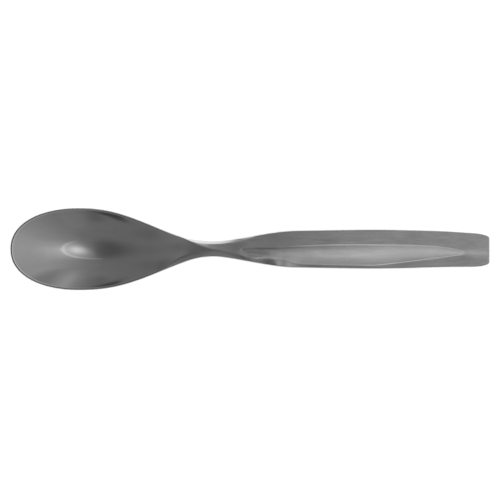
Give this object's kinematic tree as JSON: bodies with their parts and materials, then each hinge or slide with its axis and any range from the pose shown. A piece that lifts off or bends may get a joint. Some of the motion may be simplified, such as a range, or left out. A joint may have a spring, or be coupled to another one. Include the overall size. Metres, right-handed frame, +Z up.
{
  "type": "soup spoon",
  "caption": "Soup spoon with an oval bowl, a neck twisted a quarter turn and a hollow ridged handle with a leaf-shaped flute.",
  "frame": {"origin": "on the table, under the middle of the spoon's length and width, where it lies at rest on the bowl's underside and the butt", "axes": "+X from the bowl's tip to the butt, +Y across the spoon, +Z up, out of the open bowl"},
  "size_m": [0.2, 0.0342, 0.0182],
  "materials": {
    "bowl_steel": "polished stainless steel, softly satined on the outside",
    "handle_steel": "satin stainless steel, finely brushed along the handle",
    "cement": "hardened mineral-filled resin cement, unseen"
  },
  "bodies": {
    "root": {"bowl": "bowl_steel", "handle_right_shell": "handle_steel", "handle_left_shell": "handle_steel", "tang_cement": "cement", "butt_cap": "handle_steel"}
  },
  "joints": []
}
